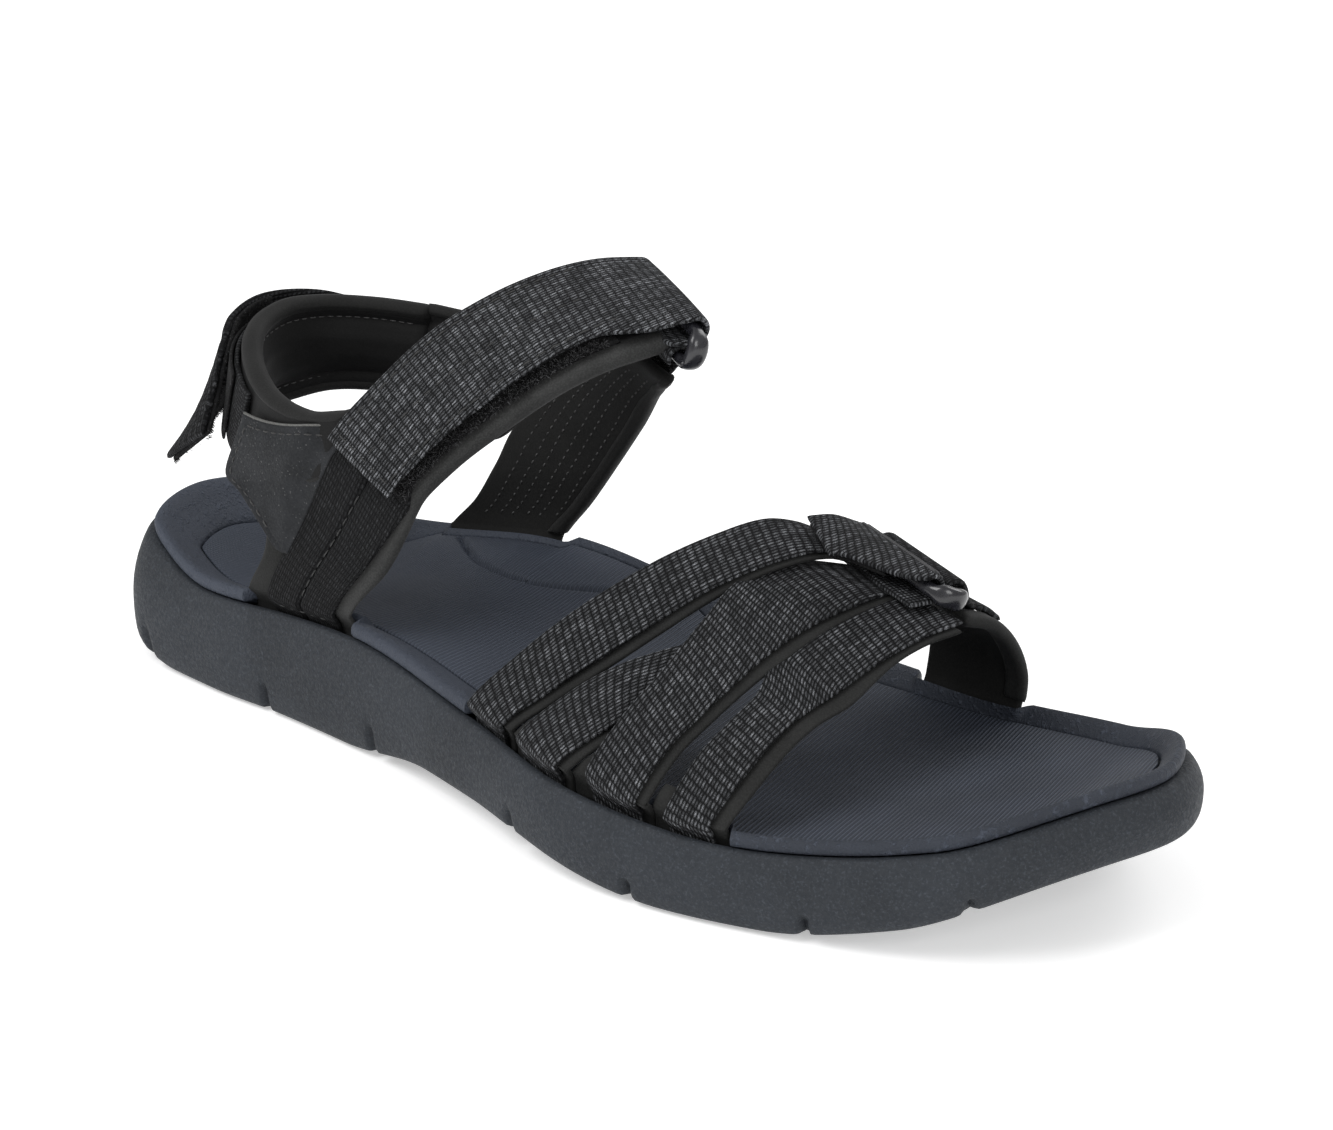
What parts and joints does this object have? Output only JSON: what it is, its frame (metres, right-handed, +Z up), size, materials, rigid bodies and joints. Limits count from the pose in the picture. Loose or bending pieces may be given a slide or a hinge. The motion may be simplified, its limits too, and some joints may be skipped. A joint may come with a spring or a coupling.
{
  "type": "strappy sport sandal",
  "caption": "Right-foot sport sandal: woven straps on plastic rings, hook-and-loop closures, padded heel collar, moulded footbed and a podded rubber outsole.",
  "frame": {"origin": "on the ground under the middle of the sandal's bounding box", "axes": "+X towards the toe, along the sandal's length; +Y towards the medial (big-toe) side; +Z up"},
  "size_m": [0.2698, 0.0996, 0.1065],
  "materials": {
    "webbing": "woven polyester, matt",
    "lining": "smooth synthetic backing over thin foam, matt",
    "pile": "hook and loop pile",
    "overlay": "synthetic microfibre, fine grain",
    "ring": "glossy moulded plastic",
    "footbed": "moulded foam with fine ribs, matt",
    "midsole": "moulded foam with fine grain, matt",
    "outsole": "rubber, matt"
  },
  "bodies": {
    "sandal": {"forefoot_strap_rear": "webbing", "forefoot_strap_second": "webbing", "forefoot_strap_third": "webbing", "forefoot_strap_front": "webbing", "forefoot_ring_keeper": "webbing", "instep_base_webbing": "webbing", "instep_ring_keeper": "webbing", "heel_webbing": "webbing", "medial_quarter_webbing": "webbing", "medial_heel_webbing": "webbing", "forefoot_strap_rear_lining": "lining", "forefoot_strap_second_lining": "lining", "forefoot_strap_third_lining": "lining", "forefoot_strap_front_lining": "lining", "strap_gusset_rear": "lining", "strap_gusset_middle": "lining", "strap_gusset_front": "lining", "forefoot_anchor_lining": "lining", "instep_pad": "lining", "lateral_quarter_lining": "lining", "heel_collar_pad": "lining", "medial_quarter_lining": "lining", "medial_collar_panel": "lining", "instep_loop_tape": "pile", "heel_loop_tape": "pile", "lateral_overlay": "overlay", "footbed": "footbed", "footbed_cover": "footbed", "midsole": "midsole", "outsole_pod_heel_bevel": "outsole", "outsole_pod_heel": "outsole", "outsole_pod_heel_front": "outsole", "outsole_pod_arch": "outsole", "outsole_pod_waist": "outsole", "outsole_pod_ball": "outsole", "outsole_pod_forefoot": "outsole", "outsole_pod_toe": "outsole"},
    "instep_closure": {"instep_closure_strap": "webbing", "instep_hook_tape": "pile"},
    "forefoot_closure": {"forefoot_closure_tab": "webbing", "forefoot_hook_tape": "pile"},
    "heel_closure": {"heel_closure_tab": "webbing", "heel_hook_tape": "pile"},
    "instep_ring_body": {"instep_ring": "ring"},
    "forefoot_ring_body": {"forefoot_ring": "ring"}
  },
  "joints": [
    {"name": "instep_strap_peel", "type": "hinge", "parent": "sandal", "child": "instep_closure", "pos_m": [-0.0017, 0.0218, 0.0996], "axis": [-0.8823, 0.4306, 0.1903], "range_deg": [0, 95]},
    {"name": "forefoot_tab_peel", "type": "hinge", "parent": "sandal", "child": "forefoot_closure", "pos_m": [0.0591, 0.0212, 0.0549], "axis": [-0.9104, 0.4117, 0.04], "range_deg": [0, 95]},
    {"name": "heel_tab_peel", "type": "hinge", "parent": "sandal", "child": "heel_closure", "pos_m": [-0.0964, 0.0301, 0.07], "axis": [-0.148, -0.098, -0.9841], "range_deg": [0, 75]},
    {"name": "instep_ring_swing", "type": "hinge", "parent": "sandal", "child": "instep_ring_body", "pos_m": [-0.00371, 0.02079, 0.09255], "axis": [0.8823, -0.4306, -0.1903], "range_deg": [-2.5, 4]},
    {"name": "forefoot_ring_swing", "type": "hinge", "parent": "sandal", "child": "forefoot_ring_body", "pos_m": [0.06175, 0.02733, 0.0522], "axis": [0.9104, -0.4117, -0.04], "range_deg": [-4, 4]}
  ]
}
